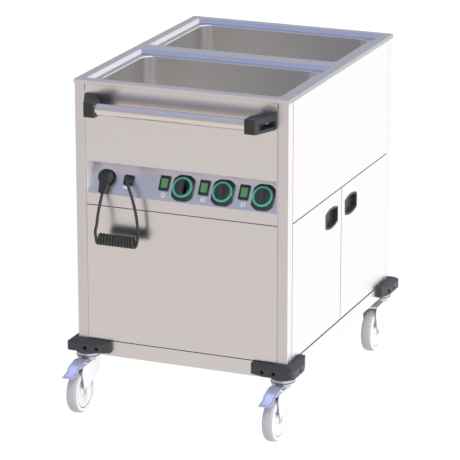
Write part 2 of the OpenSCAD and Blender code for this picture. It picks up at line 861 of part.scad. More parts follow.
// Free stretches of the cord
curl_in = helix(0) - cord_d * helix_along(0);
curl_out = helix(curl_end) + cord_d * helix_along(curl_end);
module cord_runs() color(black_colour) placed() {
    run(concat([plug_end, plug_end - cord_d * slope_up], plug_run,
        [curl_in - run_step * helix_along(0), curl_in]));
    run(concat([gland_end, gland_end + cord_d * slope_out], gland_run,
        [curl_out + run_step * helix_along(curl_end), curl_out]));
}

// Switches: frames with their bodies behind the sloping panel
module switch_frames() color(black_colour) placed()
    for (x = dial_x) on_slope(x - switch_dx, switch_u) switch_frame();
module switch_frame() difference() {
    box_w = rocker_w + 3 * sheet_t;
    box_l = rocker_l + 3 * sheet_t;
    open_w = rocker_w + 2 * seat;
    open_l = rocker_l + 2 * rocker_gap;
    union() {
        translate([-switch_w / 2, -switch_h / 2, 0]) linear_extrude(switch_t)
            round_rect(switch_w, switch_h, sheet_t);
        translate([-box_w / 2, -box_l / 2, -switch_depth]) cube([box_w, box_l, switch_depth + cut]);
    }
    translate([-open_w / 2, -open_l / 2, switch_t - rocker_t - rocker_gap])
        cube([open_w, open_l, rocker_t + rocker_gap + cut]);
    translate([-box_w / 2 + sheet_t / 2, 0, 0]) rod_x(rocker_pin_r + fit_r, box_w - sheet_t);
}

// Rocker, drawn tipped to one of its two places
module rocker(x) color(lens_colour) placed() on_slope(x - switch_dx, switch_u) {
    half = rocker_l / 2;
    pin_l = rocker_w + 3 * sheet_t / 2;
    rotate([rocker_a, 0, 0]) {
        translate([-rocker_w / 2, 0, 0]) along_x(rocker_w) difference() {
            polygon([[-half, switch_t - rocker_gap / 2], [-half, 0], [-half / 2, -rocker_t / 2],
                [half / 2, -rocker_t / 2], [half, 0], [half, switch_t - rocker_gap / 2],
                [half - rocker_gap, switch_t], [rocker_gap - half, switch_t]]);
            translate([0, switch_t + dish_r - dish_depth]) circle(dish_r, $fn = fine_sides);
        }
        translate([-pin_l / 2, 0, 0]) rod_x(rocker_pin_r, pin_l);
    }
}
module rocker_left() rocker(dial_x[0]);
module rocker_middle() rocker(dial_x[1]);
module rocker_right() rocker(dial_x[2]);

// Thermostat dials: moulded bezels, coloured rings, bodies and knobs
module dial_bezels() color(black_colour) placed() for (x = dial_x) on_slope(x, dial_u) difference() {
    intersection() {
        translate([-bezel_w / 2, -bezel_h / 2, 0]) cube([bezel_w, bezel_h, bezel_t]);
        cylinder(r = bezel_r, h = bezel_t, $fn = fine_sides);
        translate([0, 0, bezel_t + sheet_t - bezel_dome_r]) sphere(bezel_dome_r, $fn = fine_sides);
    }
    translate([0, 0, ring_z]) cylinder(r = ring_d / 2 + fit_r, h = bezel_t);
    translate([0, 0, knob_pocket]) cylinder(r = ring_d / 2 - ring_w, h = bezel_t);
    translate([0, 0, -cut]) cylinder(r = bush_r + seat, h = bezel_t);
}
module dial_rings() color(green_colour) placed() for (x = dial_x) on_slope(x, dial_u)
    translate([0, 0, ring_z]) difference() {
        cylinder(r = ring_d / 2, h = ring_t);
        translate([0, 0, -cut]) cylinder(r = ring_d / 2 - ring_w, h = ring_t + 2 * cut);
    }
module thermostats() color(bright_colour) placed() for (x = dial_x) on_slope(x, dial_u) difference() {
    union() {
        translate([0, 0, -sheet_t - thermostat_h]) cylinder(r = thermostat_r, h = thermostat_h);
        translate([0, 0, -sheet_t - cut]) cylinder(r = bush_r, h = sheet_t + cut + knob_pocket / 2);
    }
    translate([0, 0, -sheet_t - thermostat_h / 2]) cylinder(r = spindle_r + fit_r, h = thermostat_h);
}
module knob(x) color(black_colour) placed() on_slope(x, dial_u) {
    r = knob_d / 2;
    translate([0, 0, seat - sheet_t - thermostat_h / 2])
        cylinder(r = spindle_r, h = sheet_t + thermostat_h / 2 + knob_pocket + cut);
    translate([0, 0, knob_pocket + seat]) cylinder(r = r, h = knob_t);
    intersection() {
        translate([-knob_bar_w / 2, -r, knob_pocket + seat]) cube([knob_bar_w, 2 * r, knob_t + knob_bar_h]);
        translate([0, 0, knob_pocket + seat])
            cylinder(r1 = r, r2 = r - knob_bar_h / 2, h = knob_t + knob_bar_h);
    }
}
module knob_left() knob(dial_x[0]);
module knob_middle() knob(dial_x[1]);
module knob_right() knob(dial_x[2]);

// Corner bumpers, wrapped round the base
module bumper() difference() {
    o = bumper_out;
    a = bumper_arm;
    top = bumper_z + bumper_h;
    low = top - bumper_slope_h;
    slope = [[-o - cut, top + cut], [-o - cut, low], [-o, low],
        [bumper_slope_w - o, top], [bumper_slope_w - o, top + cut]];
    translate([0, 0, bumper_z]) linear_extrude(bumper_h) difference() {
        polygon([[0, 0], [a, 0], [a, -bumper_tip], [bumper_flat, -o], [-o, -o],
            [-o, bumper_flat], [-bumper_tip, a], [0, a]]);
        difference() {
            translate([-o - cut, -o - cut]) square(bumper_r + cut);
            translate([bumper_r - o, bumper_r - o]) circle(bumper_r);
        }
    }
    translate([-o - cut, 0, 0]) along_x(a + o + 2 * cut) polygon(slope);
    translate([0, -o - cut, 0]) along_y(a + o + 2 * cut) polygon(slope);
    for (s = bumper_screws) {
        translate([s, -o - cut, bumper_screw_z]) {
            rod_y(pocket_r, o + cut - pocket_wall);
            rod_y(screw_r + fit_r, o + 2 * cut);
        }
        translate([-o - cut, s, bumper_screw_z]) {
            rod_x(pocket_r, o + cut - pocket_wall);
            rod_x(screw_r + fit_r, o + 2 * cut);
        }
    }
}
module bumper_front_left() color(bumper_colour) placed() corner(false, false) bumper();
module bumper_front_right() color(bumper_colour) placed() corner(true, false) bumper();
module bumper_rear_left() color(bumper_colour) placed() corner(false, true) bumper();
module bumper_rear_right() color(bumper_colour) placed() corner(true, true) bumper();

// Fixed parts of the casters: stem, nut, upper race and kingpin
module caster_stems() color(bright_colour) placed() corners() translate([caster_in, caster_in, 0]) {
    translate([0, 0, base_z - race_t]) cylinder(r = head_r, h = race_t);
    translate([0, 0, base_z - cut]) cylinder(r = stem_r, h = stem_h);
    translate([0, 0, base_z + base_t]) cylinder(r = nut_r, h = nut_h, $fn = 6);
    translate([0, 0, plate_z - seat - rivet_h]) cylinder(r = rivet_r, h = rivet_h);
    translate([0, 0, plate_z - seat - cut]) cylinder(r = kingpin_r, h = base_z - race_t - plate_z + 2 * cut);
}

// Places children at the swivel axis of one caster; every wheel trails towards -Y
module at_caster(right, rear) {
    translate([right ? body_w - caster_in : caster_in, rear ? body_l - caster_in : caster_in, 0]) children();
}

// Side of a fork, as a Y-Z outline
module arm_outline() {
    y = -caster_trail;
    r = boss_r;
    back = head_r - 2 * plate_t;
    translate([y, axle_z]) circle(r);
    polygon([[back, plate_z + plate_t], [y - r - 2 * plate_t, plate_z + plate_t],
        [y - 2 * r, plate_z - r], [y - 2 * r + plate_t, plate_z - 2 * r], [y - r, axle_z + plate_t],
        [y - r, axle_z], [y + r, axle_z], [y + knee_share * r, axle_z + r], [0, axle_z + 2 * r],
        [back - plate_t, axle_z + 3 * r], [back, plate_z - r]]);
}

// Swivel fork with its lower race, axle and, where braked, its pedal pin
module fork(right, rear) color(bright_colour) placed() at_caster(right, rear) {
    front = rear ? caster_trail + boss_r : head_r;
    difference() {
        union() {
            translate([0, 0, plate_z + plate_t]) cylinder(r1 = head_r - plate_t, r2 = head_r, h = cup_h);
            translate([-fork_half, -front, plate_z])
                cube([2 * fork_half, front + head_r - 2 * plate_t, plate_t]);
        }
        translate([0, 0, plate_z - cut]) cylinder(r = kingpin_r + fit_r, h = cup_h + plate_t + 2 * cut);
    }
    for (x = [-fork_half, fork_gap]) translate([x, 0, 0]) along_x(arm_t) arm_outline();
    translate([-fork_half - axle_head_h, -caster_trail, axle_z]) {
        rod_x(axle_r, 2 * (fork_half + axle_head_h));
        for (x = [0, 2 * fork_half + axle_head_h]) translate([x, 0, 0]) rod_x(axle_head_r, axle_head_h);
    }
    if (!rear) translate([-fork_half, pin_y, pin_z]) rod_x(pin_r, 2 * fork_half);
}
module fork_front_left() fork(false, false);
module fork_front_right() fork(true, false);
module fork_rear_left() fork(false, true);
module fork_rear_right() fork(true, true);

// Wheel: hub, web, rim and crowned tyre in one revolved outline
module wheel(right, rear) color(tyre_colour) placed() at_caster(right, rear)
    translate([0, -caster_trail, axle_z]) rotate([0, 90, 0]) rotate_extrude($fn = fine_sides) {
        half = wheel_w / 2;
        hub = fork_gap - hub_gap;
        bore = axle_r + fit_r;
        crown = wheel_w / 8;
        polygon([
            [bore, -hub], [hub_share * wheel_r, -hub], [hub_share * wheel_r, -half * web_share],
            [rim_share * wheel_r, -half * web_share], [rim_share * wheel_r + crown / 2, -half + crown / 2],
            [wheel_r - 2 * crown, -half], [wheel_r - crown / 2, crown - half], [wheel_r, -half / 2],
            [wheel_r, half / 2], [wheel_r - crown / 2, half - crown], [wheel_r - 2 * crown, half],
            [rim_share * wheel_r + crown / 2, half - crown / 2], [rim_share * wheel_r, half * web_share],
            [hub_share * wheel_r, half * web_share], [hub_share * wheel_r, hub], [bore, hub]]);
    }
module wheel_front_left() wheel(false, false);
module wheel_front_right() wheel(true, false);
module wheel_rear_left() wheel(false, true);
module wheel_rear_right() wheel(true, true);

// Brake pedal: a curved tread on two ears that hang on the fork's pin
module brake_pedal(right) color(bright_colour) placed() at_caster(right, false) {
    t = pedal_t;
    l = pedal_reach - pedal_start;
    z = pin_z;
    tread = [for (p = tread_shares) [-pedal_start - p[0] * l, pedal_top - (1 - p[1]) * pedal_h]];
    under = [for (i = [len(tread) - 1:-1:0]) tread[i] - [0, t]];
    translate([-pedal_half, 0, 0]) along_x(2 * pedal_half) polygon(concat(tread, under));
    for (x = [-pedal_half, pedal_half - t]) difference() {
        translate([x, 0, 0]) along_x(t) {
            polygon(concat([for (i = [1:3]) tread[i] - [0, t / 2]],
                [[pin_y - ear_r, z], [pin_y + ear_r, z]]));
            translate([pin_y, z]) circle(ear_r);
        }
        translate([x - cut, pin_y, z]) rod_x(pin_r + fit_r, t + 2 * cut);
    }
}
module brake_pedal_left() brake_pedal(false);
module brake_pedal_right() brake_pedal(true);

// Way of a drain, from a well's spigot down through the base to its valve
module drain_way(r) {
    spigot_x = well_x + inset + spigot_in;
    bend_z = well_floor_z - sheet_t - spigot_h - pipe_drop;
    translate([spigot_x, 0, bend_z]) {
        cylinder(r = r, h = pipe_drop + cut);
        sphere(r);
    }
    translate([pipe_x, 0, bend_z]) {
        rod_x(r, spigot_x - pipe_x);
        sphere(r);
    }
    translate([pipe_x, 0, valve_z]) cylinder(r = r, h = bend_z - valve_z);
}

// Drains: a bent pipe with a ball valve, closed, and a spout for a hose
module drain_valves() color(brass_colour) placed()
    for (y = well_y) translate([0, y + recess_w / 2, 0]) difference() {
        pipe_top = well_floor_z - sheet_t - spigot_h;
        spout_z = valve_z - valve_h / 2 - spout_h;
        union() {
            difference() {
                drain_way(pipe_r);
                drain_way(pipe_r - sheet_t);
                translate([0, -pipe_r - cut, pipe_top])
                    cube([2 * well_x + 2 * spigot_in, 3 * pipe_r, pipe_r]);
            }
            translate([pipe_x, 0, valve_z]) sphere(valve_r + sheet_t);
            for (z = [-valve_h / 2, valve_h / 4]) translate([pipe_x, 0, valve_z + z])
                cylinder(r = valve_r, h = valve_h / 4, $fn = 6);
            translate([lever_x - lever_t, 0, valve_z]) rod_x(valve_stem_r, pipe_x - lever_x);
            translate([pipe_x, 0, spout_z]) cylinder(r = pipe_r, h = spout_h + cut);
        }
        translate([pipe_x, 0, spout_z - cut]) cylinder(r = pipe_r - sheet_t, h = spout_h + cut);
    }

// Drain lever in its closed place, across the pipe; way is the side that it points to
module drain_lever(y, way) placed() translate([lever_x, y + recess_w / 2, valve_z]) {
    color(bright_colour) difference() {
        union() {
            rod_x(lever_w / 2 + sheet_t, lever_t);
            translate([0, way > 0 ? 0 : -lever_l, -lever_w / 2]) cube([lever_t, lever_l, lever_w]);
        }
        translate([-cut, 0, 0]) rod_x(valve_stem_r + fit_r, lever_t + 2 * cut);
    }
    grip_y = way > 0 ? lever_l - grip_l : -lever_l;
    color(red_colour) translate([(lever_t - grip_t) / 2, grip_y, -lever_w / 2 - sheet_t])
        cube([grip_t, grip_l, lever_w + 2 * sheet_t]);
}
module drain_lever_front() drain_lever(well_y[0], 1);
module drain_lever_rear() drain_lever(well_y[1], -1);

// Turns the front door's own corner into the body's frame, or mirrors it for the rear door
module at_door(rear) placed() translate([0, rear ? body_l : 0, 0]) mirror([0, rear ? 1 : 0, 0])
    translate([body_w, door_edge, door_z]) children();

// Outline of a pull, in the door's own Y-Z plane
module pull_outline(grow) {
    half = pull_l / 2;
    rise = (pull_h - pull_end_h) / 2;
    r = (half * half + rise * rise) / (2 * rise);
    intersection() {
        translate([-half - grow, -pull_h / 2 - grow]) square([pull_l + 2 * grow, pull_h + 2 * grow]);
        translate([0, pull_h / 2 - r]) circle(r + grow, $fn = 2 * fine_sides);
        translate([0, r - pull_h / 2]) circle(r + grow, $fn = 2 * fine_sides);
    }
}

// Doors: a folded outer pan closed by an inner sheet, with two hinge pins
module door(rear) color(steel_colour) at_door(rear) {
    t = sheet_t;
    b = door_bevel;
    d = door_t;
    difference() {
        linear_extrude(door_h) polygon([
            [0, 0], [0, door_w], [b - d, door_w], [-d, door_w - b], [-d, b], [b - d, 0]]);
        translate([0, 0, t]) linear_extrude(door_h - 2 * t) polygon([
            [-t, t], [-t, door_w - t], [b - d + skin_k, door_w - t], [t - d, door_w - b - skin_k],
            [t - d, b + skin_k], [b - d + skin_k, t]]);
        translate([-pull_deep / 2, pull_y, pull_z]) along_x(pull_deep) pull_outline(seat);
        translate([-d / 2, door_w / 2, -cut]) cylinder(r = door_vent_r, h = t + 2 * cut);
    }
    translate([-pivot_in, pivot_along, 0]) {
        translate([0, 0, seat - joint_gap]) cylinder(r = collar_r, h = joint_gap - seat);
        translate([0, 0, -joint_gap - base_t]) cylinder(r = pivot_r, h = joint_gap + base_t);
        translate([0, 0, door_h]) cylinder(r = pivot_r, h = joint_gap + 2 * sheet_t);
    }
}
module door_front() door(false);
module door_rear() door(true);

// Recessed pulls: a cup with a thin flange on the door's face
module pull(rear) color(black_colour) at_door(rear) translate([0, pull_y, pull_z]) difference() {
    union() {
        translate([seat / 2, 0, 0]) along_x(pull_t / 2) pull_outline(pull_t);
        translate([-pull_deep, 0, 0]) along_x(pull_deep + pull_t / 2) pull_outline(0);
    }
    translate([pull_t - pull_deep, 0, 0]) along_x(pull_deep) pull_outline(-pull_wall);
}
module pull_front() pull(false);
module pull_rear() pull(true);

base_frame();
post_front_left();
post_front_right();
post_rear_left();
post_rear_right();
front_upper_panel();
control_fascia();
front_lower_panel();
rear_panel();
left_panel();
right_upper_panel();
top_deck();
well_front();
well_rear();
heating_elements();
cabinet_liner();
shelf_runners();
insulation_boards();
door_gaskets();
handle_tube();
handle_bracket_left();
handle_bracket_right();
fixing_screws();
park_socket();
plug();
cord_runs();
cord_curl();
cable_gland();
switch_frames();
dial_bezels();
dial_rings();
thermostats();
bumper_front_left();
bumper_front_right();
bumper_rear_left();
bumper_rear_right();
caster_stems();
drain_valves();
drain_lever_front();
drain_lever_rear();
door_front();
door_rear();
pull_front();
pull_rear();
rocker_left();
rocker_middle();
rocker_right();
knob_left();
knob_middle();
knob_right();
fork_front_left();
fork_front_right();
fork_rear_left();
fork_rear_right();
wheel_front_left();
wheel_front_right();
wheel_rear_left();
wheel_rear_right();
brake_pedal_left();
brake_pedal_right();
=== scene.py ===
# Heated serving trolley: camera, light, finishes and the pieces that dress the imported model
import json
import math

import bmesh
import bpy
from mathutils import Matrix, Vector

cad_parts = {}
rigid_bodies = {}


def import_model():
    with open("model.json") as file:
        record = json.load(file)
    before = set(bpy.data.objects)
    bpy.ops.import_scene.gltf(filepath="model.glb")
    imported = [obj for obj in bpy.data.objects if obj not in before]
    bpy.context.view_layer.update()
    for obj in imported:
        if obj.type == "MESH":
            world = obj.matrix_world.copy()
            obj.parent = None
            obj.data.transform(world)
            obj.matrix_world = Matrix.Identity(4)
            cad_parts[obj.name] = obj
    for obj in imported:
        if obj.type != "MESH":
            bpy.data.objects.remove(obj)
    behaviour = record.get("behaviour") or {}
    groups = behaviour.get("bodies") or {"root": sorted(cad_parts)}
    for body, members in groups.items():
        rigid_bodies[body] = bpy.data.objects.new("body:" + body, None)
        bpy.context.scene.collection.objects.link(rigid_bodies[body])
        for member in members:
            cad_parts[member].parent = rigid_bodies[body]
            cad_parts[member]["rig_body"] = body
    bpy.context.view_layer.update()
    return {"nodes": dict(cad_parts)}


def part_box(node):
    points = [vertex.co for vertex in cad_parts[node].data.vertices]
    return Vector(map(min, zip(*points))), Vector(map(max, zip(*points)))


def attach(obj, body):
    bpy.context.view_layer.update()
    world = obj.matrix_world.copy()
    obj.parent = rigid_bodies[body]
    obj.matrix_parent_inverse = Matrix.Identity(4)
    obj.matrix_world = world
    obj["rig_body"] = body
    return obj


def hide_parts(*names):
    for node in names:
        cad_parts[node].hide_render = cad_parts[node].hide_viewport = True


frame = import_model()
nodes = frame["nodes"]
scene = bpy.context.scene
scene.view_settings.view_transform = "Standard"
mm = 0.001
baseLow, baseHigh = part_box("base_frame")
bodyCorner = Vector((baseLow.x, baseLow.y, 0))
bodyWidth, bodyLength = (round((baseHigh - baseLow)[axis] / mm) for axis in range(2))
print("frame: loaded", len(nodes), "nodes, body", bodyWidth, "x", bodyLength)


# a place measured in millimetres from the body's front left corner on the floor
def spot(x, y, z):
    return bodyCorner + Vector((x, y, z)) * mm


# the sloping control panel: height of its foot, its rise and its set-back
slope = {"foot": 626, "rise": 89.5, "setBack": 56}
slopeAngle = math.atan2(slope["setBack"], slope["rise"])
slopeUp = Vector((0, math.sin(slopeAngle), math.cos(slopeAngle)))
slopeOut = Vector((0, -math.cos(slopeAngle), math.sin(slopeAngle)))


def onSlope(x, up, out=0):
    place = spot(x, 0, slope["foot"]) + (slopeUp * up + slopeOut * out) * mm
    turn = Matrix((Vector((1, 0, 0)), slopeUp, slopeOut)).transposed().to_4x4()
    return Matrix.Translation(place) @ turn


# camera
cameraView = {
    "target": (-0.0089, 0.0035, 0.4427),
    "azimuth": 22.271,
    "elevation": 17.12,
    "distance": 7.865,
    "lens": 217.6,
    "sensor": 36.0,
}


def makeCamera():
    azimuth = math.radians(cameraView["azimuth"])
    elevation = math.radians(cameraView["elevation"])
    towards = Vector((
        math.sin(azimuth) * math.cos(elevation),
        -math.cos(azimuth) * math.cos(elevation),
        math.sin(elevation),
    ))
    data = bpy.data.cameras.new("camera")
    data.lens = cameraView["lens"]
    data.sensor_width = cameraView["sensor"]
    camera = bpy.data.objects.new("camera", data)
    camera.location = Vector(cameraView["target"]) + towards * cameraView["distance"]
    camera.rotation_euler = towards.to_track_quat("Z", "Y").to_euler()
    scene.collection.objects.link(camera)
    scene.camera = camera


makeCamera()
print("camera: placed")


# mains cord, from the gland down to the curls and up to the plug
cordRoute = {
    "thick": 8,
    "length": 1.37,
    "glandEnd": (148, 45.5, 12),
    "plugEnd": (84, -2, 14),
    "plugRun": [(84, -25, 612), (84, -35.5, 594), (84.3, -45, 575), (84.7, -53, 554)],
    "glandRun": [
        (150, -2, 680), (155, -12, 680.5), (162, -22, 674), (171, -29, 658),
        (180, -32, 637), (187, -33, 614), (192, -33, 591), (195, -32, 568),
    ],
    "curlStart": (85, -45, 512),
    "curlRadius": 13,
    "curlPitch": 8.8,
    "curls": 12.5,
    "stepsPerCurl": 20,
    "stepsPerSpan": 5,
    "leads": (1, 3),  # straight points off each end of the coil, in cord thicknesses
    "roundness": 4,
}


def curlPoint(turns):
    angle = 2 * math.pi * turns
    x, y, z = cordRoute["curlStart"]
    radius = cordRoute["curlRadius"]
    x += cordRoute["curlPitch"] * turns
    return spot(x, y - radius * math.cos(angle), z - radius * math.sin(angle))


def curlAlong(turns):
    angle = 2 * math.pi * turns
    rise = cordRoute["curlPitch"] / (2 * math.pi * cordRoute["curlRadius"])
    return Vector((rise, math.sin(angle), -math.cos(angle))).normalized()


# a smooth line through points, with the first and last point kept
def smoothLine(points, steps):
    padded = [2 * points[0] - points[1]] + points + [2 * points[-1] - points[-2]]
    line = []
    for before, start, end, after in zip(padded, padded[1:], padded[2:], padded[3:]):
        for step in range(steps):
            t = step / steps
            line.append(0.5 * (
                2 * start + (end - before) * t
                + (2 * before - 5 * start + 4 * end - after) * t ** 2
                + (3 * start - before - 3 * end + after) * t ** 3
            ))
    return line + [points[-1]]


def cordLine():
    thick = cordRoute["thick"] * mm
    curls = cordRoute["curls"]
    leads = cordRoute["leads"]
    glandEnd = onSlope(*cordRoute["glandEnd"]).translation
    plugEnd = onSlope(*cordRoute["plugEnd"]).translation
    down = [glandEnd, glandEnd + slopeOut * thick]
    down += [spot(*point) for point in cordRoute["glandRun"]]
    down += [curlPoint(curls) + curlAlong(curls) * thick * reach for reach in reversed(leads)]
    up = [curlPoint(0) - curlAlong(0) * thick * reach for reach in leads]
    up += [spot(*point) for point in reversed(cordRoute["plugRun"])]
    up += [plugEnd - slopeUp * thick, plugEnd]
    count = round(curls * cordRoute["stepsPerCurl"])
    coil = [curlPoint(curls * (1 - step / count)) for step in range(count + 1)]
    steps = cordRoute["stepsPerSpan"]
    return smoothLine(down, steps) + coil + smoothLine(up, steps)


def makeCord():
    points = cordLine()
    curve = bpy.data.curves.new("mains_cord", "CURVE")
    curve.dimensions = "3D"
    curve.bevel_depth = cordRoute["thick"] * mm / 2
    curve.bevel_resolution = cordRoute["roundness"]
    curve.use_fill_caps = True
    spline = curve.splines.new("POLY")
    spline.points.add(len(points) - 1)
    for point, place in zip(spline.points, points):
        point.co = (*place, 1)
    spline.use_smooth = True
    cord = bpy.data.objects.new("mains_cord", curve)
    scene.collection.objects.link(cord)
    length = sum((b - a).length for a, b in zip(points, points[1:]))
    print("cord: length", round(length, 3), "points", len(points))
    return cord


mainsCord = makeCord()


# node helpers, for materials and for Geometry Nodes
def join(tree, socket, value):
    if isinstance(value, Wire):
        tree.links.new(value.socket, socket)
    else:
        socket.default_value = value


class Wire:
    def __init__(self, tree, socket):
        self.tree = tree
        self.socket = socket

    def other(self, output):
        return Wire(self.tree, self.socket.node.outputs[output])

    def combine(self, operation, first, second):
        node = self.tree.nodes.new("ShaderNodeMath")
        node.operation = operation
        join(self.tree, node.inputs[0], first)
        join(self.tree, node.inputs[1], second)
        return Wire(self.tree, node.outputs[0])

    def __add__(self, value):
        return self.combine("ADD", self, value)

    def __radd__(self, value):
        return self.combine("ADD", value, self)

    def __sub__(self, value):
        return self.combine("SUBTRACT", self, value)

    def __rsub__(self, value):
        return self.combine("SUBTRACT", value, self)

    def __mul__(self, value):
        return self.combine("MULTIPLY", self, value)

    def __rmul__(self, value):
        return self.combine("MULTIPLY", value, self)


# sockets of a Mix node that mixes colours, and those of a Mix Shader node
mixSockets = {"factor": 0, "first": 6, "second": 7, "result": 2}
shaderSockets = {"factor": 0, "first": 1, "second": 2}


# one method makes the nodes; it returns a wire, or the node itself where it has no output
class Graph:
    def __init__(self, tree):
        self.tree = tree

    def node(self, kind, settings=None, values=None, output=0):
        made = self.tree.nodes.new(kind)
        for key, value in (settings or {}).items():
            setattr(made, key, value)
        for key, value in (values or {}).items():
            join(self.tree, made.inputs[key], value)
        return Wire(self.tree, made.outputs[output]) if made.outputs else made

    def blend(self, factor, first, second):
        inputs = {"factor": factor, "first": first, "second": second}
        values = {mixSockets[key]: value for key, value in inputs.items()}
        return self.node("ShaderNodeMix", {"data_type": "RGBA"}, values, mixSockets["result"])

    def blendShaders(self, factor, first, second):
        inputs = {"factor": factor, "first": first, "second": second}
        values = {shaderSockets[key]: value for key, value in inputs.items()}
        return self.node("ShaderNodeMixShader", {}, values)


# display colour such as "c9c4c2" to the linear colour that a shader takes, by the sRGB curve
def tint(code):
    parts = [int(code[i:i + 2], 16) / 255 for i in (0, 2, 4)]
    return (*[p / 12.92 if p <= 0.04045 else ((p + 0.055) / 1.055) ** 2.4 for p in parts], 1)


even = (1, 1, 1)


class Finish(Graph):
    def __init__(self, name, **fixed):
        self.material = bpy.data.materials.new(name)
        self.material.use_nodes = True
        super().__init__(self.material.node_tree)
        self.tree.nodes.clear()
        values = {key.replace("_", " "): value for key, value in fixed.items()}
        self.surface = self.node("ShaderNodeBsdfPrincipled", {}, values)
        self.output = self.node("ShaderNodeOutputMaterial", {}, {"Surface": self.surface})

    def feed(self, socket, value):
        join(self.tree, self.surface.socket.node.inputs[socket], value)

    def place(self, stretch=even):
        coordinates = self.node("ShaderNodeTexCoord", output="Object")
        return self.node("ShaderNodeMapping", {}, {"Vector": coordinates, "Scale": stretch})

    def noise(self, stretch, scale, detail, rough=0.5):
        values = {"Vector": self.place(stretch), "Scale": scale, "Detail": detail, "Roughness": rough}
        return self.node("ShaderNodeTexNoise", {}, values)

    def bump(self, height, strength, distance):
        values = {"Height": height, "Strength": strength, "Distance": distance}
        self.feed("Normal", self.node("ShaderNodeBump", {}, values))


def shade(colour, factor):
    return (*[min(1, channel * factor) for channel in colour[:3]], 1)


def darkAndLight(colour, share):
    return shade(colour, 1 - share), shade(colour, 1 + share)


# finishes, with the middle of a pattern that runs from 0 to 1
middle = 0.5
steelLook = {
    "lineScale": 1400, "alongScale": 9, "lineDetail": 2, "contrast": 0.03, "lineShine": 0.05,
    "cloudScale": 5, "cloudDetail": 3, "cloudRough": 0.6, "cloud": 0.02, "cloudShine": 0.05,
}


# rolled and brushed sheet; grain names the axes that the brush lines follow
def steelFinish(name, code, grain, roughness, metallic=1.0, weight=1.0):
    colour = tint(code)
    finish = Finish(name, Metallic=metallic)
    stretch = [steelLook["lineScale"]] * 3
    for axis in grain:
        stretch["xyz".index(axis)] = steelLook["alongScale"]
    lines = finish.noise(stretch, 1, steelLook["lineDetail"])
    cloud = finish.noise(even, steelLook["cloudScale"], steelLook["cloudDetail"], steelLook["cloudRough"])
    brushed = finish.blend(lines, *darkAndLight(colour, steelLook["contrast"] * weight))
    smudged = finish.blend(cloud, *darkAndLight(colour, steelLook["cloud"]))
    finish.feed("Base Color", finish.blend(middle, brushed, smudged))
    lineRough = (lines - middle) * steelLook["lineShine"] * weight
    finish.feed("Roughness", roughness + lineRough + (cloud - middle) * steelLook["cloudShine"])
    return finish.material


# moulded plastic or rubber with a fine eroded grain
mouldedLook = {
    "grainDetail": 2, "grainShine": 0.08, "grainDepth": 0.0002,
    "wearScale": 22, "wearDetail": 4, "wearRough": 0.6, "wearShine": 0.12,
}


def mouldedFinish(name, code, roughness, grainScale=900, strength=0.12, contrast=0.12, **fixed):
    look = mouldedLook
    finish = Finish(name, **fixed)
    grain = finish.noise(even, grainScale, look["grainDetail"])
    wear = finish.noise(even, look["wearScale"], look["wearDetail"], look["wearRough"])
    finish.feed("Base Color", finish.blend(wear, *darkAndLight(tint(code), contrast)))
    worn = roughness + (wear - middle) * look["wearShine"]
    finish.feed("Roughness", worn + (grain - middle) * look["grainShine"])
    finish.bump(grain, strength, look["grainDepth"])
    return finish.material


# zinc-plated pressed steel
platedLook = {
    "spangleScale": 160, "spangleShine": 0.05, "flowScale": 40, "flowDetail": 3, "flowRough": 0.55,
    "dark": 0.93, "light": 1.05, "flowShine": 0.16, "flowStrength": 0.05, "flowDepth": 0.0003,
}


def platedFinish(name, code, roughness, metallic=0.85):
    look = platedLook
    colour = tint(code)
    finish = Finish(name, Metallic=metallic)
    values = {"Vector": finish.place(), "Scale": look["spangleScale"]}
    spangle = finish.node("ShaderNodeTexVoronoi", {}, values)
    flow = finish.noise(even, look["flowScale"], look["flowDetail"], look["flowRough"])
    finish.feed("Base Color", finish.blend(flow, shade(colour, look["dark"]), shade(colour, look["light"])))
    flowing = roughness + (flow - middle) * look["flowShine"]
    finish.feed("Roughness", flowing + (spangle - middle) * look["spangleShine"])
    finish.bump(flow, look["flowStrength"], look["flowDepth"])
    return finish.material


# loose mineral fibres
woolLook = {
    "stretch": (1, 1, 5), "fibreScale": 160, "fibreDetail": 6, "fibreRough": 0.7, "fibreStrength": 0.5,
    "fibreDepth": 0.002, "clumpScale": 24, "clumpDetail": 4, "clumpRough": 0.6, "dull": 0.95,
    "dark": "b7a870", "light": "e2d7a4",
}


def woolFinish():
    look = woolLook
    finish = Finish("mineral_wool", Roughness=look["dull"])
    fibres = finish.noise(look["stretch"], look["fibreScale"], look["fibreDetail"], look["fibreRough"])
    clumps = finish.noise(even, look["clumpScale"], look["clumpDetail"], look["clumpRough"])
    finish.feed("Base Color", finish.blend(clumps, tint(look["dark"]), tint(look["light"])))
    finish.bump(fibres, look["fibreStrength"], look["fibreDepth"])
    return finish.material


# clear green lens over a prism pattern
lensLook = {
    "prismScale": 260, "prismShare": 0.6, "prismShine": 0.15, "prismStrength": 0.25, "prismDepth": 0.0005,
    "glowScale": 60, "glowDetail": 2, "glowShare": 0.4, "shine": 0.16, "dark": "397343", "light": "5a9a5a",
    "coat": {"Coat_Weight": 0.6, "Coat_Roughness": 0.06, "Specular_IOR_Level": 0.6},
}


def lensFinish():
    look = lensLook
    finish = Finish("switch_lens", **look["coat"])
    values = {"Vector": finish.place(), "Scale": look["prismScale"]}
    prisms = finish.node("ShaderNodeTexVoronoi", {"distance": "CHEBYCHEV"}, values)
    glow = finish.noise(even, look["glowScale"], look["glowDetail"])
    pattern = prisms * look["prismShare"] + glow * look["glowShare"]
    finish.feed("Base Color", finish.blend(pattern, tint(look["dark"]), tint(look["light"])))
    finish.feed("Roughness", look["shine"] + prisms * look["prismShine"])
    finish.bump(prisms, look["prismStrength"], look["prismDepth"])
    return finish.material


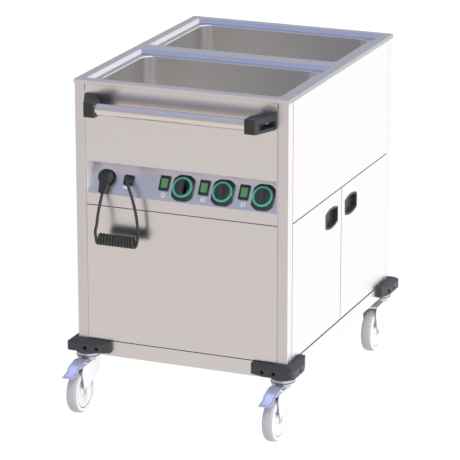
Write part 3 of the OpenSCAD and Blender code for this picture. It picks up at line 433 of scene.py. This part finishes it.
finishes = {
    "panelSteel": steelFinish("panel_steel", "d1cfcf", "xy", 0.26, weight=0.4),
    # darker copy of the post steel: painted shade along the upright joints beside the front posts
    "seamShadeSteel": steelFinish("seam_steel", "bab5b3", "z", 0.3),
    "doorSteel": steelFinish("door_steel", "cfcccd", "xy", 0.26, weight=0.4),
    "postSteel": steelFinish("post_steel", "cecbcc", "z", 0.3),
    "deckSteel": steelFinish("deck_steel", "c9c8cc", "x", 0.2, weight=0.6),
    "wellSteel": steelFinish("well_steel", "e5e3e1", "z", 0.3, weight=0.7),
    "linerSteel": steelFinish("liner_steel", "c9c8c9", "xy", 0.3),
    "fasciaSteel": steelFinish("fascia_steel", "d1cdcf", "x", 0.3),
    # pale, non-metallic copy of the fascia steel: painted light on the fascia's end cheeks
    "cheekLitSteel": steelFinish("cheek_steel", "f2efea", "z", 0.5, metallic=0.0),
    # cooler copy of the fascia steel: painted sky reflection on the upward slope
    "slopeReflectionSteel": steelFinish("slope_steel", "cbcbd1", "x", 0.3, metallic=0.95),
    "tubeSteel": steelFinish("tube_steel", "dad3cf", "x", 0.22, weight=0.5),
    "baseSteel": steelFinish("base_steel", "d3d0d0", "xy", 0.34),
    # near-white steel: painted light on the front panel's downward faces
    "soffitLitSteel": steelFinish("soffit_steel", "f4f0fa", "x", 0.3),
    # darker copy of the deck steel: painted shade on the deck's right-facing faces
    "rimShadeSteel": steelFinish("rim_steel", "98979c", "y", 0.3),
    # near-black steel: painted shade on the edge faces in the panel and door joints
    "jointShadeSteel": steelFinish("joint_steel", "1c1e1b", "y", 0.5),
    "blackMoulding": mouldedFinish("black_moulding", "222427", 0.42, Specular_IOR_Level=0.4),
    "knobMoulding": mouldedFinish("knob_moulding", "2f3136", 0.4, Specular_IOR_Level=0.4),
    "pullMoulding": mouldedFinish("pull_moulding", "2f2f2e", 0.5, Specular_IOR_Level=0.35),
    "greyBumper": mouldedFinish(
        "grey_bumper", "343538", 0.55, grainScale=700, strength=0.2, Specular_IOR_Level=0.4),
    "cordRubber": mouldedFinish(
        "cord_rubber", "282a2a", 0.5, grainScale=1200, strength=0.1, Specular_IOR_Level=0.4),
    # rubber of the door gaskets, also used for the black strips painted as shade in the door joints
    "gasketAndShadeRubber": mouldedFinish("gasket_rubber", "2a2a2b", 0.7),
    # dark rubber of the caster seals, also painted shade in the wheel grooves
    "sealRubber": mouldedFinish("seal_rubber", "3c3d44", 0.6),
    # darker, more violet copy of the bumper grey: painted shade with a sky tint on the bumpers' tops
    "bumperTopShade": mouldedFinish(
        "bumper_top", "34333a", 0.6, grainScale=700, strength=0.2, Specular_IOR_Level=0.3),
    "greenRing": mouldedFinish(
        "green_ring", "3aa883", 0.3, grainScale=1200, strength=0.04, contrast=0.05, Coat_Weight=0.4),
    "wheelCore": mouldedFinish("wheel_core", "e4e4e4", 0.42, grainScale=700, strength=0.06, contrast=0.04),
    "wheelTyre": mouldedFinish("wheel_tyre", "b0b0b1", 0.4, grainScale=500, strength=0.08, contrast=0.05),
    "thermostatBody": mouldedFinish("thermostat_body", "cfc8b6", 0.6),
    "redGrip": mouldedFinish("red_grip", "a8322b", 0.5),
    "zinc": platedFinish("zinc_plate", "dcdcde", 0.38, metallic=0.6),
    # darker zinc: painted shade on the caster races and on the forks' front-facing faces
    "raceShadeZinc": platedFinish("race_zinc", "b4b4c0", 0.4, metallic=0.6),
    "pedalZinc": platedFinish("pedal_zinc", "b6b8cf", 0.5, metallic=0.5),
    # lighter, bluer copy of the pedal zinc: painted sky light on the pedal pads
    "padLitZinc": platedFinish("pad_zinc", "bcc1f4", 0.45, metallic=0.2),
    "markPaint": mouldedFinish("mark_paint", "ececf0", 0.5, strength=0.02, contrast=0.02),
    "brass": platedFinish("drain_brass", "c9a558", 0.35),
    "heater": steelFinish("heater_foil", "bfc0c4", "x", 0.45),
    "wool": woolFinish(),
    "lens": lensFinish(),
}
print("finishes: made", len(finishes))


# meshes, with the distances at which points are welded and the angles, in degrees, of flat and round edges
meshLook = {"weld": 0.000002, "smooth": 35, "sourceWeld": 0.00001, "sourceFlat": 0.4, "roundFrom": 30}


def applyModifiers(piece):
    depsgraph = bpy.context.evaluated_depsgraph_get()
    mesh = bpy.data.meshes.new_from_object(piece.evaluated_get(depsgraph))
    piece.modifiers.clear()
    piece.data = mesh
    return mesh


# plain mesh of a piece, smooth over its rounded edges and flat on its flats
def finishObject(piece, smooth=meshLook["smooth"]):
    mesh = applyModifiers(piece)
    build = bmesh.new()
    build.from_mesh(mesh)
    bmesh.ops.remove_doubles(build, verts=build.verts, dist=meshLook["weld"])
    bmesh.ops.recalc_face_normals(build, faces=build.faces)
    build.to_mesh(mesh)
    build.free()
    mesh.shade_smooth()
    mesh.set_sharp_from_angle(angle=math.radians(smooth))
    weighted = piece.modifiers.new("weighted", "WEIGHTED_NORMAL")
    weighted.keep_sharp = True
    applyModifiers(piece)
    return piece


def newPiece(name, points, edges=(), faces=()):
    mesh = bpy.data.meshes.new(name)
    mesh.from_pydata([tuple(p) for p in points], list(edges), list(faces))
    piece = bpy.data.objects.new(name, mesh)
    scene.collection.objects.link(piece)
    return piece


def paint(piece, finish):
    piece.data.materials.clear()
    piece.data.materials.append(finishes[finish])


# second finish on the faces of a piece whose normal passes a test
def accent(name, finish, passes):
    mesh = bpy.data.objects[name].data
    mesh.materials.append(finishes[finish])
    for face in mesh.polygons:
        if passes(face.normal):
            face.material_index = len(mesh.materials) - 1


# a copy of a CAD node with its edges rounded, which then stands for it
def dress(node, finish, width, segments=2):
    source = nodes[node]
    piece = bpy.data.objects.new("dressed_" + node, source.data.copy())
    scene.collection.objects.link(piece)
    build = bmesh.new()
    build.from_mesh(piece.data)
    bmesh.ops.remove_doubles(build, verts=build.verts, dist=meshLook["sourceWeld"])
    flat = math.radians(meshLook["sourceFlat"])
    bmesh.ops.dissolve_limit(build, angle_limit=flat, verts=build.verts, edges=build.edges)
    build.to_mesh(piece.data)
    build.free()
    bevel = piece.modifiers.new("round", "BEVEL")
    bevel.width = width * mm
    bevel.segments = segments
    bevel.limit_method = "ANGLE"
    bevel.angle_limit = math.radians(meshLook["roundFrom"])
    bevel.use_clamp_overlap = True
    finishObject(piece)
    paint(piece, finish)
    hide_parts(node)
    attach(piece, source["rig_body"])
    return piece


# Geometry Nodes
def newTree(name, inputs):
    tree = bpy.data.node_groups.new(name, "GeometryNodeTree")
    tree.interface.new_socket("Geometry", in_out="INPUT", socket_type="NodeSocketGeometry")
    for label, kind in inputs:
        tree.interface.new_socket(label, in_out="INPUT", socket_type="NodeSocket" + kind)
    tree.interface.new_socket("Geometry", in_out="OUTPUT", socket_type="NodeSocketGeometry")
    graph = Graph(tree)
    return graph, graph.node("NodeGroupInput")


def endTree(graph, geometry, finish):
    real = graph.node("GeometryNodeRealizeInstances", {}, {"Geometry": geometry})
    painted = graph.node("GeometryNodeSetMaterial", {}, {"Geometry": real, "Material": finish})
    graph.node("NodeGroupOutput", {}, {"Geometry": painted})
    return graph.tree


# an outline of radius and depth, turned round the Z axis
def turnedTree():
    graph, start = newTree("turned", [("Path Radius", "Float"), ("Steps", "Int"), ("Finish", "Material")])
    values = {"Resolution": start.other("Steps"), "Radius": start.other("Path Radius")}
    path = graph.node("GeometryNodeCurvePrimitiveCircle", {}, values)
    outline = graph.node("GeometryNodeMeshToCurve", {}, {"Mesh": start})
    values = {"Curve": path, "Profile Curve": outline}
    return endTree(graph, graph.node("GeometryNodeCurveToMesh", {}, values), start.other("Finish"))


# copies set in a row
def rowTree():
    graph, start = newTree("row_of", [("Count", "Int"), ("Step", "Vector"), ("Finish", "Material")])
    values = {"Count": start.other("Count"), "Offset": start.other("Step")}
    points = graph.node("GeometryNodeMeshLine", {}, values)
    values = {"Points": points, "Instance": start}
    return endTree(graph, graph.node("GeometryNodeInstanceOnPoints", {}, values), start.other("Finish"))


trees = {"turned": turnedTree(), "row": rowTree()}
print("trees: made")


def grow(piece, tree, finish, **values):
    modifier = piece.modifiers.new("grow", "NODES")
    modifier.node_group = trees[tree]
    items = trees[tree].interface.items_tree
    names = {item.name: item.identifier for item in items if item.in_out == "INPUT"}
    modifier[names["Finish"]] = finishes[finish]
    for key, value in values.items():
        modifier[names[key.replace("_", " ")]] = value
    return finishObject(piece)


# a closed outline of (radius, depth) in millimetres, turned round the local Z axis
def turned(name, outline, finish, place, steps=64):
    pathRadius = max(radius for radius, depth in outline)
    points = [((radius - pathRadius) * mm, -depth * mm, 0) for radius, depth in outline]
    edges = [(i, (i + 1) % len(outline)) for i in range(len(outline))]
    piece = newPiece(name, points, edges)
    grow(piece, "turned", finish, Path_Radius=pathRadius * mm, Steps=steps)
    piece.data.transform(place)
    return piece


# closed outlines in millimetres, each drawn counter-clockwise and raised along the local Z axis
def raised(name, outlines, thick, place, finish):
    points, faces = [], []
    for outline in outlines:
        first = len(points)
        count = len(outline)
        points += [(x * mm, y * mm, z) for z in (0, thick * mm) for x, y in outline]
        faces.append([first + i for i in reversed(range(count))])
        faces.append([first + count + i for i in range(count)])
        faces += [
            (first + i, first + (i + 1) % count, first + count + (i + 1) % count, first + count + i)
            for i in range(count)
        ]
    piece = newPiece(name, points, faces=faces)
    piece.data.transform(place)
    paint(piece, finish)
    return piece


def rectangle(left, low, right, high):
    return [(left, low), (right, low), (right, high), (left, high)]


# sheet metal: each finish with the width of its rounded edges in millimetres, and its pieces
sheetPieces = {
    "panelSteel": (0.5, ["front_upper_panel", "front_lower_panel", "rear_panel", "left_panel"]),
    "doorSteel": (1.4, ["right_upper_panel", "door_front", "door_rear"]),
    "postSteel": (1.3, ["post_front_left", "post_front_right", "post_rear_left", "post_rear_right"]),
    "baseSteel": (1.2, ["base_frame"]),
    "fasciaSteel": (0.4, ["control_fascia"]),
    "deckSteel": (1.0, ["top_deck"]),
}
for finish, (width, members) in sheetPieces.items():
    for node in members:
        dress(node, finish, width)

# how far a face turns to an axis before it takes a second finish
turnedTo = {"fully": 0.9, "rounded": 0.95, "partly": 0.5, "slightly": 0.3, "barely": 0.1}


def onSlopeFace(normal):
    return turnedTo["slightly"] < normal.z < turnedTo["fully"] and normal.y < -turnedTo["partly"]


# edge faces inside the joints, which take painted shade
def onPanelEdge(normal):
    return abs(normal.x) < turnedTo["rounded"] and abs(normal.y) < turnedTo["slightly"]


def onDoorEdge(normal):
    return turnedTo["barely"] < normal.x < turnedTo["rounded"]


# painted shade: the deck's right-facing faces, on the rim and in the wells, take darker steel
accent("dressed_top_deck", "rimShadeSteel", lambda normal: normal.x > turnedTo["fully"])
# painted sky reflection: the fascia's slope faces take a cooler steel
accent("dressed_control_fascia", "slopeReflectionSteel", onSlopeFace)
# painted light: the fascia's side-facing end cheeks take pale steel
accent("dressed_control_fascia", "cheekLitSteel", lambda normal: abs(normal.x) > turnedTo["fully"])
# painted light: the front upper panel's downward faces take near-white steel
accent("dressed_front_upper_panel", "soffitLitSteel", lambda normal: normal.z < -turnedTo["fully"])
# painted shade in the joints: the base frame's upward faces and the edge faces of the right panel and doors
# take near-black steel
accent("dressed_base_frame", "jointShadeSteel", lambda normal: normal.z > turnedTo["slightly"])
accent("dressed_right_upper_panel", "jointShadeSteel", onPanelEdge)
for node, side in (("door_front", 1), ("door_rear", -1)):
    accent("dressed_" + node, "jointShadeSteel",
           lambda normal: onDoorEdge(normal) and side * normal.y > -turnedTo["slightly"])

# returned folds that close the upright joints beside the front posts, in a darker steel painted as the
# joints' shade
seams = {"from": 29.7, "to": 31.3, "front": 0.5, "back": 1, "low": 205, "high": 915}


def makeSeams():
    start, end = seams["from"], seams["to"]
    outlines = [
        rectangle(left, seams["front"], right, seams["back"])
        for left, right in ((start, end), (bodyWidth - end, bodyWidth - start))
    ]
    place = Matrix.Translation(spot(0, 0, seams["low"]))
    piece = raised("front_seams", outlines, seams["high"] - seams["low"], place, "seamShadeSteel")
    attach(piece, "trolley")


makeSeams()

# black strips in the joints under and over the doors, painted shade where the joints lie in shadow,
# measured from the body's side and ends
doorShadeStrips = {
    "sunk": 1.3, "proud": 0.15, "inset": 35,
    "levels": {"lower_shade_strip": (201.2, 205.7), "upper_shade_strip": (591.3, 594.4)},
}


def makeDoorShadeStrips():
    inner, outer = bodyWidth - doorShadeStrips["sunk"], bodyWidth + doorShadeStrips["proud"]
    outline = rectangle(inner, doorShadeStrips["inset"], outer, bodyLength - doorShadeStrips["inset"])
    for name, (low, high) in doorShadeStrips["levels"].items():
        piece = raised(name, [outline], high - low, Matrix.Translation(spot(0, 0, low)), "gasketAndShadeRubber")
        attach(piece, "trolley")


makeDoorShadeStrips()
print("sheet metal: dressed")

carried = {
    "well_front": "wellSteel", "well_rear": "wellSteel", "cabinet_liner": "linerSteel",
    "shelf_runners": "linerSteel", "heating_elements": "heater", "insulation_boards": "wool",
    "door_gaskets": "gasketAndShadeRubber", "handle_tube": "tubeSteel", "fixing_screws": "zinc",
    "thermostats": "thermostatBody", "drain_valves": "brass",
}
for node, finish in carried.items():
    paint(nodes[node], finish)

# moulded pieces: each with its finish and the width of its rounded edges in millimetres
mouldedPieces = {
    "handle_bracket_left": ("blackMoulding", 3.0), "handle_bracket_right": ("blackMoulding", 3.0),
    "bumper_front_left": ("greyBumper", 1.2), "bumper_front_right": ("greyBumper", 1.2),
    "bumper_rear_left": ("greyBumper", 1.2), "bumper_rear_right": ("greyBumper", 1.2),
    "park_socket": ("blackMoulding", 1.0), "plug": ("blackMoulding", 2.5),
    "cable_gland": ("blackMoulding", 1.0), "switch_frames": ("blackMoulding", 0.8),
    "dial_bezels": ("blackMoulding", 1.2), "dial_rings": ("greenRing", 0.4),
    "rocker_left": ("lens", 0.4), "rocker_middle": ("lens", 0.4), "rocker_right": ("lens", 0.4),
    "knob_left": ("knobMoulding", 1.2), "knob_middle": ("knobMoulding", 1.2),
    "knob_right": ("knobMoulding", 1.2),
    "pull_front": ("pullMoulding", 0.8), "pull_rear": ("pullMoulding", 0.8),
}
bumperTopFrom = 0.4
for node, (finish, width) in mouldedPieces.items():
    dress(node, finish, width, segments=3)
    # painted shade: upward faces of each bumper take their own grey
    if finish == "greyBumper":
        accent("dressed_" + node, "bumperTopShade", lambda normal: normal.z > bumperTopFrom)
paint(mainsCord, "cordRubber")
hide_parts("cord_runs", "cord_curl")
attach(mainsCord, "trolley")
tuple(onSlope(*cordRoute["glandEnd"]).translation)
cordRoute["thick"] * mm
print("mouldings: dressed")

# strain relief at the gland, a ribbed sleeve that tapers along the cord
relief = {
    "length": 26, "from": 6.4, "to": 4.5, "ribs": 6, "ridge": 0.45, "perRib": 4, "crest": (1, 2),
    "sides": 20, "smooth": 50,
}


def pointAlong(line, distance):
    for start, end in zip(line, line[1:]):
        span = (end - start).length
        if distance <= span:
            return start.lerp(end, distance / span), (end - start).normalized()
        distance -= span
    return line[-1], (line[-1] - line[-2]).normalized()


def makeRelief():
    line = cordLine()
    sides = relief["sides"]
    count = relief["ribs"] * relief["perRib"] + 1
    points = []
    for step in range(count):
        share = step / (count - 1)
        centre, along = pointAlong(line, share * relief["length"] * mm)
        across = along.cross(Vector((1, 0, 0))).normalized()
        rise = along.cross(across)
        ridge = relief["ridge"] * (step % relief["perRib"] in relief["crest"])
        radius = (relief["from"] + (relief["to"] - relief["from"]) * share + ridge) * mm
        for side in range(sides):
            turn = 2 * math.pi * side / sides
            points.append(centre + (across * math.cos(turn) + rise * math.sin(turn)) * radius)
    last = (count - 1) * sides
    faces = [list(range(sides)), [last + i for i in reversed(range(sides))]]
    for ring in range(0, last, sides):
        for i in range(sides):
            after = (i + 1) % sides
            faces.append((ring + i, ring + sides + i, ring + sides + after, ring + after))
    piece = newPiece("cord_relief", points, faces=faces)
    finishObject(piece, relief["smooth"])
    paint(piece, "cordRubber")
    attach(piece, "trolley")


makeRelief()

# printed marks on the sloping panel
marks = {
    "first": (255, 16), "step": 116, "count": 3, "inner": 4.6, "outer": 6.2, "gap": 40,
    "barHalf": 0.7, "barFrom": 1.5, "barTo": 6.6, "sides": 28, "thick": 0.3,
    "label": (143, 25), "labelSize": (16, 6),
}


# at each switch a ring, open at its top for a bar, and a plain label at the gland
def makeMarks():
    angles = [
        math.radians(90 + marks["gap"] + (360 - 2 * marks["gap"]) * i / marks["sides"])
        for i in range(marks["sides"] + 1)
    ]
    arc = [(marks["outer"] * math.cos(a), marks["outer"] * math.sin(a)) for a in angles]
    arc += [(marks["inner"] * math.cos(a), marks["inner"] * math.sin(a)) for a in reversed(angles)]
    bar = rectangle(-marks["barHalf"], marks["barFrom"], marks["barHalf"], marks["barTo"])
    piece = raised("switch_marks", [arc, bar], marks["thick"], onSlope(*marks["first"]), "markPaint")
    grow(piece, "row", "markPaint", Count=marks["count"], Step=(marks["step"] * mm, 0, 0))
    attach(piece, "trolley")
    x, y = (side / 2 for side in marks["labelSize"])
    plate = rectangle(-x, -y, x, y)
    label = raised("cord_label", [plate], marks["thick"], onSlope(*marks["label"]), "markPaint")
    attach(label, "trolley")


makeMarks()
print("marks: printed")

# casters: where their stems stand
stemInset = 20
casterSpots = {
    row + "_" + side: (x, y)
    for row, y in (("front", stemInset), ("rear", bodyLength - stemInset))
    for side, x in (("left", stemInset), ("right", bodyWidth - stemInset))
}
# half outlines of a wheel as (radius, depth), and how far a face turns to an axis before its finish changes
wheelSet = {
    "tyre": [(48.6, -15), (50, -15.6), (54.5, -16), (58, -15), (60.8, -12.2), (62.3, -8), (62.5, 0)],
    "core": [(6.2, -17.6), (14.4, -17.6), (15.2, -16.8), (16.4, -9.4), (18, -8.8), (37, -8.8), (40, -10),
             (42, -14), (43.5, -15), (45.8, -15), (46.6, -14), (46.6, -11), (48.8, -11)],
    # dark rubber ring at the bottom of the gap between tyre and core: painted shade in the groove
    "groove": [(46.7, -14.3), (48.5, -14.3)],
    "finishes": {"tyre": "wheelTyre", "core": "wheelCore", "groove": "sealRubber"},
    "steps": 72, "sidewall": 0.8, "forkShade": 0.4,
}
# widths of the rounded edges of pressed steel and of lever grips
pressedEdge = 0.8
gripEdge = 0.6
# rubber ring between the races of a fork, wide enough to show as a dark line: partly the seal, partly
# painted shade in the groove between the races
seal = {"outer": 33.9, "inner": 30, "low": 151.4, "high": 153.6}
# embossed pad on the tread of a brake pedal, its line as (depth, height); its zinc is lighter and bluer
# than the pedal's: painted sky light
pad = {
    "line": [(-89.5, 142.1), (-99.2, 139.1), (-109.1, 129.2), (-130, 125.4)],
    "half": 9.5, "thick": 0.8,
}


# a whole outline from the half up to the wheel's middle, where a point at depth zero isn't doubled
def mirrored(half):
    return half + [(radius, -depth) for radius, depth in reversed(half) if depth]


def makeCaster(corner):
    wheel = "wheel_" + corner
    low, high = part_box(wheel)
    place = Matrix.Translation((low + high) / 2) @ Matrix.Rotation(math.pi / 2, 4, "Y")
    for kind, finish in wheelSet["finishes"].items():
        outline = mirrored(wheelSet[kind])
        piece = turned(kind + "_" + corner, outline, finish, place, wheelSet["steps"])
        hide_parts(wheel)
        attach(piece, wheel)
    accent("tyre_" + corner, "wheelCore", lambda normal: abs(normal.x) > wheelSet["sidewall"])
    dress("fork_" + corner, "zinc", pressedEdge)
    # painted shade: the fork's front-facing faces take the darker race zinc
    accent("dressed_fork_" + corner, "raceShadeZinc", lambda normal: normal.y < -wheelSet["forkShade"])
    outline = rectangle(seal["inner"], seal["low"], seal["outer"], seal["high"])
    place = Matrix.Translation(spot(*casterSpots[corner], 0))
    ring = turned("seal_" + corner, outline, "sealRubber", place)
    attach(ring, "fork_" + corner)


def makePad(side):
    line = pad["line"]
    outline = [(y, z) for y, z in reversed(line)] + [(y, z + pad["thick"]) for y, z in line]
    x, y = casterSpots["front_" + side]
    turn = Matrix(((0, 0, 1), (1, 0, 0), (0, 1, 0))).to_4x4()  # the outline stands up along Y and Z
    place = Matrix.Translation(spot(x - pad["half"], y, 0)) @ turn
    piece = raised("pad_" + side, [outline], 2 * pad["half"], place, "padLitZinc")
    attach(piece, "brake_pedal_" + side)


for corner in casterSpots:
    makeCaster(corner)
for side in ("left", "right"):
    dress("brake_pedal_" + side, "pedalZinc", pressedEdge)
    makePad(side)
# the stems' races take the darker zinc as painted shade
dress("caster_stems", "raceShadeZinc", pressedEdge)
for side in ("front", "rear"):
    dress("drain_lever_" + side, "redGrip", gripEdge)
print("casters: made")

# room: the floor, the surroundings with the heights and the sides at which they change, and the sun
room = {
    "floorSize": 30,
    "floorPaint": 0.9,
    "floorLight": 1.05,
    "floorShow": 0.93,
    "sky": "c2c5d1",
    "zenith": "bfc7f0",
    "floorGlow": "fbf4ef",
    "softboxStrength": 1.62,
    "zenithFrom": (0.55, 0.95),
    "skyFrom": (-0.25, 0.2),
    "softboxFrom": (-0.15, 0.45),
    "sun": {"strength": 0.9, "angle": 25, "from": (1.2, -1.0, 2.2)},
}
white = (1, 1, 1, 1)


def makeFloor():
    half = room["floorSize"] / 2
    corners = [(x, y, 0) for x, y in rectangle(-half, -half, half, half)]
    floor = newPiece("floor", corners, faces=[(0, 1, 2, 3)])
    finish = Finish("floor_white", Roughness=1.0, Specular_IOR_Level=0.0)
    finish.feed("Base Color", (*[room["floorPaint"]] * 3, 1))
    glow = finish.node("ShaderNodeEmission", {}, {"Color": white, "Strength": room["floorLight"]})
    seen = finish.node("ShaderNodeLightPath", output="Is Camera Ray") * room["floorShow"]
    shown = finish.blendShaders(seen, finish.surface, glow)
    join(finish.tree, finish.output.inputs["Surface"], shown)
    floor.data.materials.append(finish.material)
    floor.visible_glossy = False


def makeWorld():
    world = bpy.data.worlds.new("studio")
    scene.world = world
    world.use_nodes = True
    world.node_tree.nodes.clear()
    graph = Graph(world.node_tree)
    direction = graph.node("ShaderNodeTexCoord", output="Generated")
    split = graph.node("ShaderNodeSeparateXYZ", {}, {"Vector": direction})
    right, up = split.other("X"), split.other("Z")

    def ramp(value, limits):
        values = {"Value": value, "From Min": limits[0], "From Max": limits[1]}
        return graph.node("ShaderNodeMapRange", {"interpolation_type": "SMOOTHSTEP"}, values)

    sky = graph.blend(ramp(up, room["zenithFrom"]), tint(room["sky"]), tint(room["zenith"]))
    around = graph.blend(ramp(up, room["skyFrom"]), tint(room["floorGlow"]), sky)
    softbox = (*[room["softboxStrength"]] * 3, 1)
    lit = graph.blend(ramp(right, room["softboxFrom"]), around, softbox)
    lighting = graph.node("ShaderNodeBackground", {}, {"Color": lit, "Strength": 1.0})
    backdrop = graph.node("ShaderNodeBackground", {}, {"Color": white, "Strength": 1.0})
    camera = graph.node("ShaderNodeLightPath", output="Is Camera Ray")
    shown = graph.blendShaders(camera, lighting, backdrop)
    graph.node("ShaderNodeOutputWorld", {}, {"Surface": shown})


def makeSun():
    data = bpy.data.lights.new("sun", "SUN")
    data.energy = room["sun"]["strength"]
    data.angle = math.radians(room["sun"]["angle"])
    sun = bpy.data.objects.new("sun", data)
    sun.rotation_euler = Vector(room["sun"]["from"]).to_track_quat("Z", "Y").to_euler()
    scene.collection.objects.link(sun)


makeFloor()
makeWorld()
makeSun()
print("room: lit")
